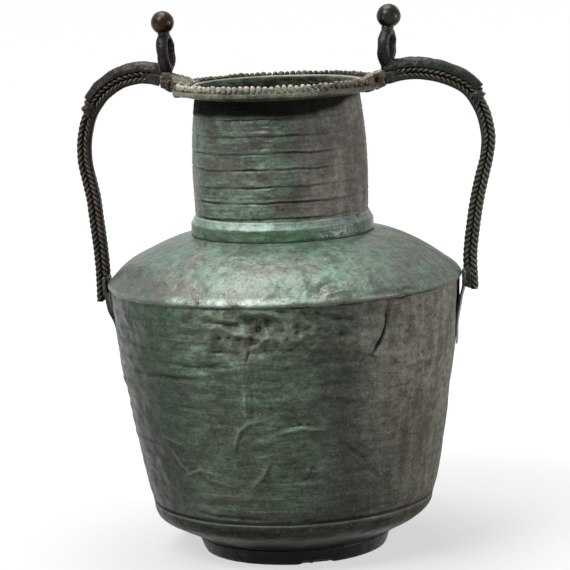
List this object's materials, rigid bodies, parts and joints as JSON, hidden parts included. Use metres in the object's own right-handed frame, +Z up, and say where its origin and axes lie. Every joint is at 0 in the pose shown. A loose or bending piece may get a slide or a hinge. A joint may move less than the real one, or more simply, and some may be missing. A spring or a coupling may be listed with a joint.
{
  "type": "bronze amphora",
  "caption": "Footed bronze amphora with a tapering body, domed shoulder, ribbed neck, beaded rim and plaited handles, each with an upright ring and ball finial over the rim.",
  "frame": {"origin": "centre of the circle that the foot ring stands on, on the vessel's axis", "axes": "+Z up along the vessel's axis, X through both handles, -Y towards the side that the picture shows"},
  "size_m": [0.3443, 0.29, 0.4448],
  "materials": {
    "green_bronze": "hammered, green patina",
    "grey_green_bronze": "hammered, worn grey-green patina",
    "crusted_bronze": "pale corroded crust",
    "dark_bronze": "dark brown-black patina, satin",
    "brown_bronze": "brown patina, satin"
  },
  "bodies": {
    "root": {"foot_ring": "dark_bronze", "bottom_dish": "green_bronze", "body_wall": "green_bronze", "shoulder": "grey_green_bronze", "neck": "green_bronze", "neck_collar": "green_bronze", "rim_ring": "crusted_bronze", "rim_beading_front": "crusted_bronze", "rim_beading_back": "crusted_bronze", "rim_clasp_left": "crusted_bronze", "rim_clasp_right": "crusted_bronze", "handle_bar_left": "dark_bronze", "handle_bar_right": "dark_bronze", "ring_bracket_left": "dark_bronze", "ring_bracket_right": "dark_bronze", "ball_finial_left": "brown_bronze", "ball_finial_right": "brown_bronze", "handle_binding_left": "dark_bronze", "handle_binding_right": "dark_bronze", "escutcheon_left": "dark_bronze", "escutcheon_right": "dark_bronze"}
  },
  "joints": []
}
